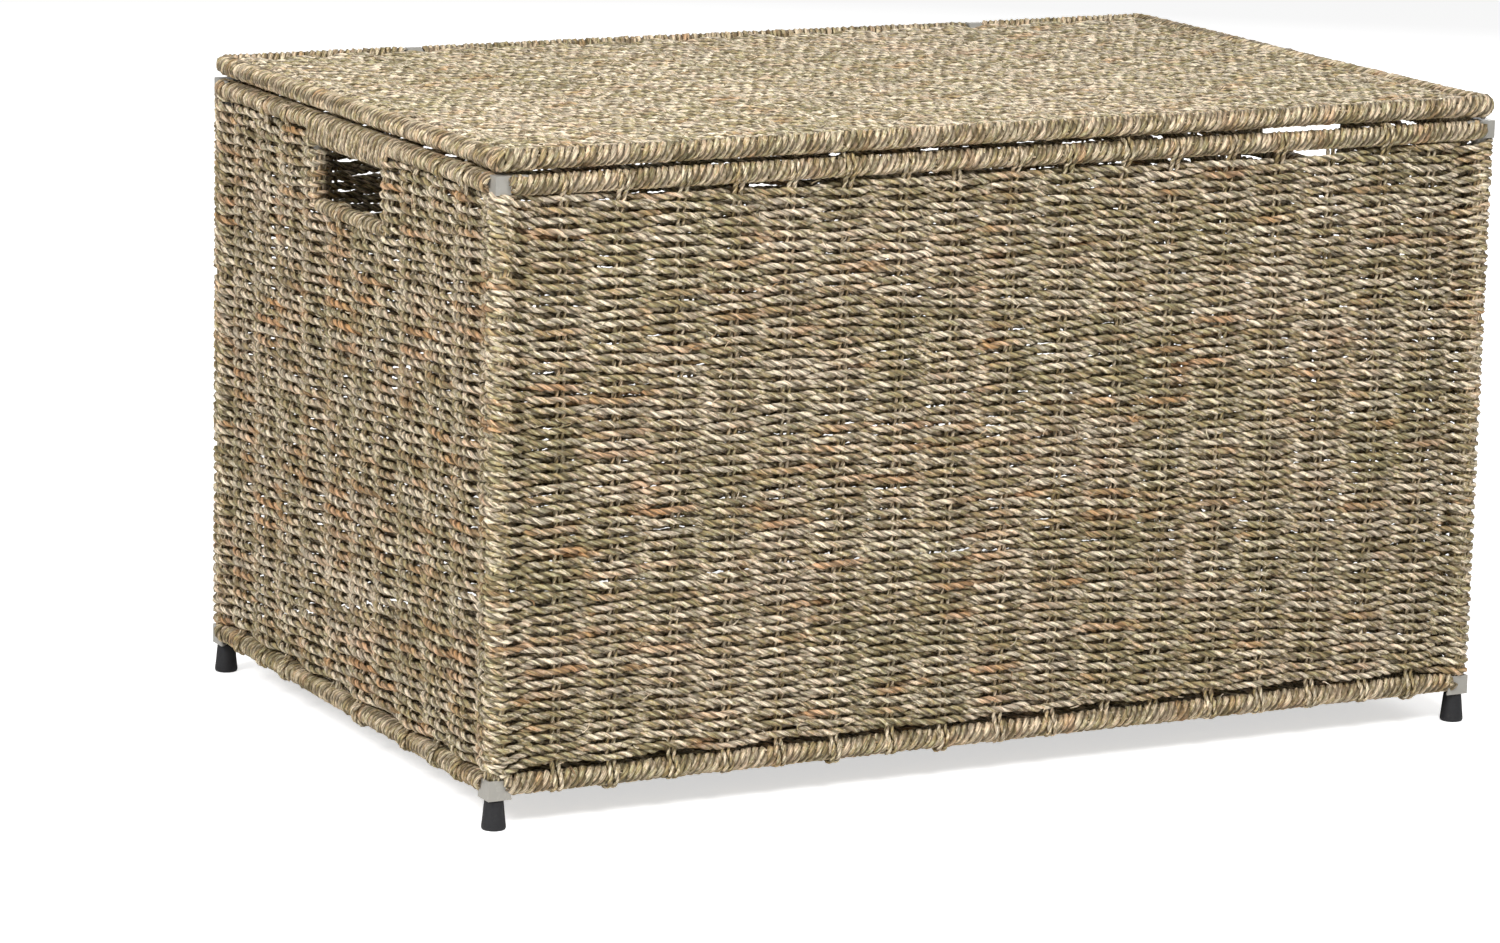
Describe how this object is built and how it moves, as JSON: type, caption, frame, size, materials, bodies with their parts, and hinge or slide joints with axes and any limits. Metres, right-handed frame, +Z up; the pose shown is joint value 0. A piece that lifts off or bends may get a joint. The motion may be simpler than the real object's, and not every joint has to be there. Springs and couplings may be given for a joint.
{
  "type": "wicker storage trunk",
  "caption": "Rectangular woven seagrass trunk on a light steel frame, with a hinged lid, cord-wound rims, a cut-through handle in each end and short rubber feet.",
  "frame": {"origin": "on the floor, under the middle of the trunk's box", "axes": "+X along the width to the right end, -Y out of the front, +Z up"},
  "size_m": [0.6858, 0.4294, 0.4],
  "materials": {
    "frame_steel": "light grey powder coat, satin",
    "seagrass_weave": "twisted dry seagrass cord in plain weave, matt with a slight straw sheen",
    "seagrass_winding": "twisted dry seagrass cord wound close, matt",
    "foot_rubber": "matt black"
  },
  "bodies": {
    "trunk": {"corner_post_front_left": "frame_steel", "foot_front_left": "foot_rubber", "top_gusset_front_left": "frame_steel", "base_gusset_front_left": "frame_steel", "corner_post_front_right": "frame_steel", "foot_front_right": "foot_rubber", "top_gusset_front_right": "frame_steel", "base_gusset_front_right": "frame_steel", "corner_post_back_right": "frame_steel", "foot_back_right": "foot_rubber", "top_gusset_back_right": "frame_steel", "base_gusset_back_right": "frame_steel", "corner_post_back_left": "frame_steel", "foot_back_left": "foot_rubber", "top_gusset_back_left": "frame_steel", "base_gusset_back_left": "frame_steel", "top_rim_rod_front": "frame_steel", "base_rim_rod_front": "frame_steel", "base_rim_winding_front": "seagrass_winding", "woven_wall_front": "seagrass_weave", "top_rim_rod_back": "frame_steel", "base_rim_rod_back": "frame_steel", "base_rim_winding_back": "seagrass_winding", "woven_wall_back": "seagrass_weave", "top_rim_rod_left": "frame_steel", "base_rim_rod_left": "frame_steel", "base_rim_winding_left": "seagrass_winding", "woven_wall_left": "seagrass_weave", "top_rim_rod_right": "frame_steel", "base_rim_rod_right": "frame_steel", "base_rim_winding_right": "seagrass_winding", "woven_wall_right": "seagrass_weave", "top_rim_winding_front": "seagrass_winding", "top_rim_winding_back_left": "seagrass_winding", "top_rim_winding_back_middle": "seagrass_winding", "top_rim_winding_back_right": "seagrass_winding", "top_rim_winding_left_front": "seagrass_winding", "top_rim_winding_left_back": "seagrass_winding", "top_rim_winding_right_front": "seagrass_winding", "top_rim_winding_right_back": "seagrass_winding", "handle_frame_left": "frame_steel", "handle_grip_left": "seagrass_winding", "handle_sill_winding_left": "seagrass_winding", "handle_frame_right": "frame_steel", "handle_grip_right": "seagrass_winding", "handle_sill_winding_right": "seagrass_winding", "woven_floor": "seagrass_weave"},
    "lid": {"lid_rod_front": "frame_steel", "lid_rod_back": "frame_steel", "lid_rod_left": "frame_steel", "lid_rod_right": "frame_steel", "lid_winding_front": "seagrass_winding", "lid_winding_back_left": "seagrass_winding", "lid_winding_back_middle": "seagrass_winding", "lid_winding_back_right": "seagrass_winding", "lid_winding_left": "seagrass_winding", "lid_winding_right": "seagrass_winding", "woven_lid": "seagrass_weave", "hinge_strap_left": "frame_steel", "hinge_strap_right": "frame_steel"}
  },
  "joints": [
    {"name": "lid_hinge", "type": "hinge", "parent": "trunk", "child": "lid", "pos_m": [0, 0.20815, 0.3785], "axis": [-1, 0, 0], "range_deg": [0, 115]}
  ]
}
